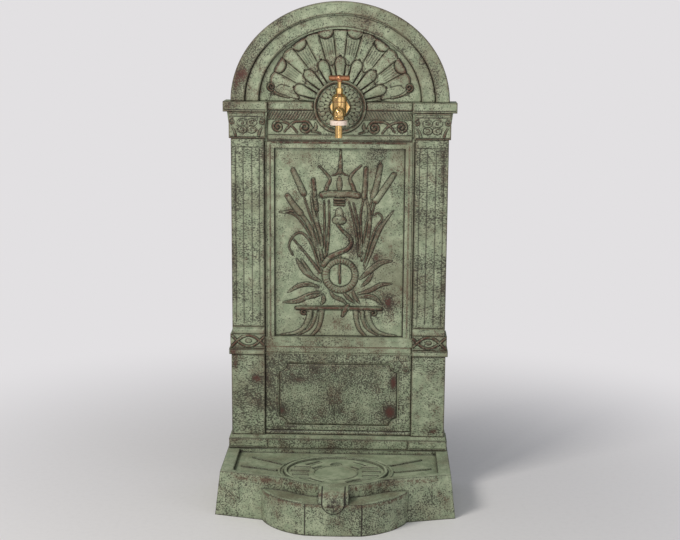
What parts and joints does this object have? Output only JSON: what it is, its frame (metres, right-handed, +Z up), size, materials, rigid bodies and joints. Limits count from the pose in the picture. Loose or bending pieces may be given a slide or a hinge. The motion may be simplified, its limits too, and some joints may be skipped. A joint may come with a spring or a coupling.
{
  "type": "drinking fountain",
  "caption": "Cast-iron wall fountain: arched relief panel on a shallow basin with a brass bib tap, a T handle and a lift-out oval drain grate.",
  "frame": {"origin": "on the floor, at the middle of the width and of the depth", "axes": "+X right seen from the front, +Y back to the wall, +Z up"},
  "size_m": [0.495, 0.326, 1.042],
  "materials": {
    "cast_iron": "sage green verdigris paint rubbed back to dark brown",
    "brass": "polished, a little tarnished",
    "red_brass": "reddish, worn",
    "dull_brass": "pale, pinkish, matt",
    "rubber": "matt",
    "fibre": "matt fibre",
    "steel": "zinc plated",
    "plastic": "moulded"
  },
  "bodies": {
    "fountain": {"back_panel": "cast_iron", "basin": "cast_iron", "tap_body": "brass", "tap_flange": "brass", "tap_bonnet": "brass", "gland_nut": "brass", "hose_tail": "brass", "inlet_backnut": "brass", "inlet_elbow": "brass", "outlet_ring": "dull_brass", "outlet_washer": "rubber", "drain_seal": "rubber", "bonnet_seal": "fibre", "gland_packing": "fibre", "inlet_washer": "fibre", "joint_bolts": "steel", "joint_washers": "steel", "joint_nuts": "steel", "hanging_plate_left": "steel", "hanging_plate_right": "steel", "plate_screws": "steel", "drain_strainer": "steel", "drain_outlet": "plastic", "drain_backnut": "plastic"},
    "valve": {"jumper": "brass", "jumper_washer": "rubber", "jumper_nut": "brass"},
    "handle": {"spindle": "brass", "tee_handle": "red_brass", "handle_pin": "brass"},
    "grate": {"drain_grate": "cast_iron"}
  },
  "joints": [
    {"name": "valve_lift", "type": "slide", "parent": "fountain", "child": "valve", "axis": [0, 0, 1], "range_m": [0, 0.005]},
    {"name": "handle_turn", "type": "hinge", "parent": "valve", "child": "handle", "pos_m": [0, 0.068, 0.889], "axis": [0, 0, 1], "range_deg": [0, 720]},
    {"name": "grate_lift", "type": "slide", "parent": "fountain", "child": "grate", "axis": [0, 0, 1], "range_m": [0, 0.06]}
  ],
  "couplings": [
    {"joint": "handle_turn", "follows": "valve_lift", "rad_per_m": 2513.3}
  ]
}
